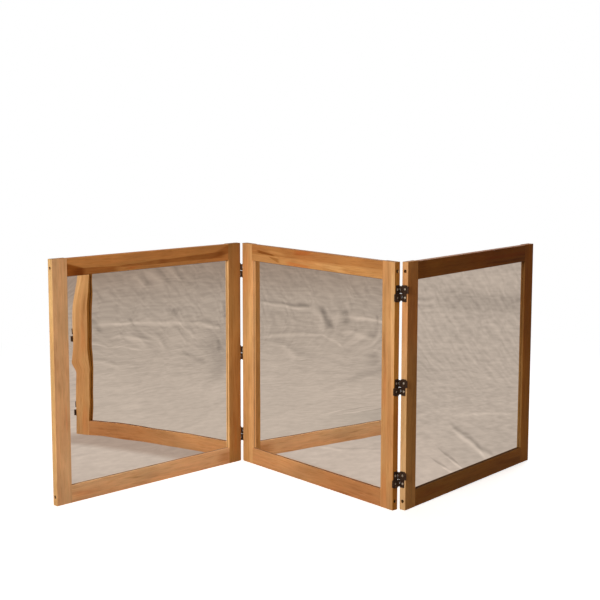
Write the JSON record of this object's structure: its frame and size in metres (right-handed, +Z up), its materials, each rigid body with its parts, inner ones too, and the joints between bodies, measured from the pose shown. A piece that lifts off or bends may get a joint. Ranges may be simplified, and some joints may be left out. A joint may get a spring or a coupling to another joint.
{
  "type": "trifold vanity mirror",
  "caption": "Freestanding folding vanity mirror: square wood-framed mirror panels joined edge to edge by double-action screen hinges, standing in a zigzag.",
  "frame": {"origin": "middle of the underside of the middle panel, at half its thickness", "axes": "+X to the right of someone who faces the mirrors, along the zigzag's run; -Y towards them; +Z up"},
  "size_m": [1.2145, 0.4922, 0.6],
  "materials": {
    "frame_wood": "oiled honey-brown cherry, satin",
    "mirror_silver": "silvered, slightly wavy",
    "backing_hardboard": "brown hardboard",
    "hinge_bronze": "dark antique bronze",
    "hinge_screw_nickel": "worn nickel",
    "frame_screw_steel": "dulled zinc"
  },
  "bodies": {
    "middle_panel": {"left_bottom_hinge_lower_link": "hinge_bronze", "left_bottom_hinge_middle_leaf": "hinge_bronze", "left_hinge_middle_pins": "hinge_bronze", "left_hinge_middle_screws": "hinge_screw_nickel", "left_middle_hinge_lower_link": "hinge_bronze", "left_middle_hinge_middle_leaf": "hinge_bronze", "left_top_hinge_lower_link": "hinge_bronze", "left_top_hinge_middle_leaf": "hinge_bronze", "middle_panel_backing_board": "backing_hardboard", "middle_panel_bottom_rail": "frame_wood", "middle_panel_frame_screws": "frame_screw_steel", "middle_panel_left_stile": "frame_wood", "middle_panel_mirror_pane": "mirror_silver", "middle_panel_right_stile": "frame_wood", "middle_panel_top_rail": "frame_wood", "right_bottom_hinge_lower_link": "hinge_bronze", "right_bottom_hinge_middle_leaf": "hinge_bronze", "right_hinge_middle_pins": "hinge_bronze", "right_hinge_middle_screws": "hinge_screw_nickel", "right_middle_hinge_lower_link": "hinge_bronze", "right_middle_hinge_middle_leaf": "hinge_bronze", "right_top_hinge_lower_link": "hinge_bronze", "right_top_hinge_middle_leaf": "hinge_bronze"},
    "left_panel": {"left_bottom_hinge_outer_leaf": "hinge_bronze", "left_bottom_hinge_upper_link": "hinge_bronze", "left_hinge_outer_pins": "hinge_bronze", "left_hinge_outer_screws": "hinge_screw_nickel", "left_middle_hinge_outer_leaf": "hinge_bronze", "left_middle_hinge_upper_link": "hinge_bronze", "left_panel_backing_board": "backing_hardboard", "left_panel_bottom_rail": "frame_wood", "left_panel_frame_screws": "frame_screw_steel", "left_panel_left_stile": "frame_wood", "left_panel_mirror_pane": "mirror_silver", "left_panel_right_stile": "frame_wood", "left_panel_top_rail": "frame_wood", "left_top_hinge_outer_leaf": "hinge_bronze", "left_top_hinge_upper_link": "hinge_bronze"},
    "right_panel": {"right_bottom_hinge_outer_leaf": "hinge_bronze", "right_bottom_hinge_upper_link": "hinge_bronze", "right_hinge_outer_pins": "hinge_bronze", "right_hinge_outer_screws": "hinge_screw_nickel", "right_middle_hinge_outer_leaf": "hinge_bronze", "right_middle_hinge_upper_link": "hinge_bronze", "right_panel_backing_board": "backing_hardboard", "right_panel_bottom_rail": "frame_wood", "right_panel_frame_screws": "frame_screw_steel", "right_panel_left_stile": "frame_wood", "right_panel_mirror_pane": "mirror_silver", "right_panel_right_stile": "frame_wood", "right_panel_top_rail": "frame_wood", "right_top_hinge_outer_leaf": "hinge_bronze", "right_top_hinge_upper_link": "hinge_bronze"}
  },
  "joints": [
    {"name": "left_fold", "type": "hinge", "parent": "middle_panel", "child": "left_panel", "pos_m": [-0.20414, 0.22357, 0.3], "axis": [0, 0, 1], "range_deg": [-96, 84]},
    {"name": "right_fold", "type": "hinge", "parent": "middle_panel", "child": "right_panel", "pos_m": [0.20414, -0.22357, 0.3], "axis": [0, 0, 1], "range_deg": [-102, 78]}
  ]
}
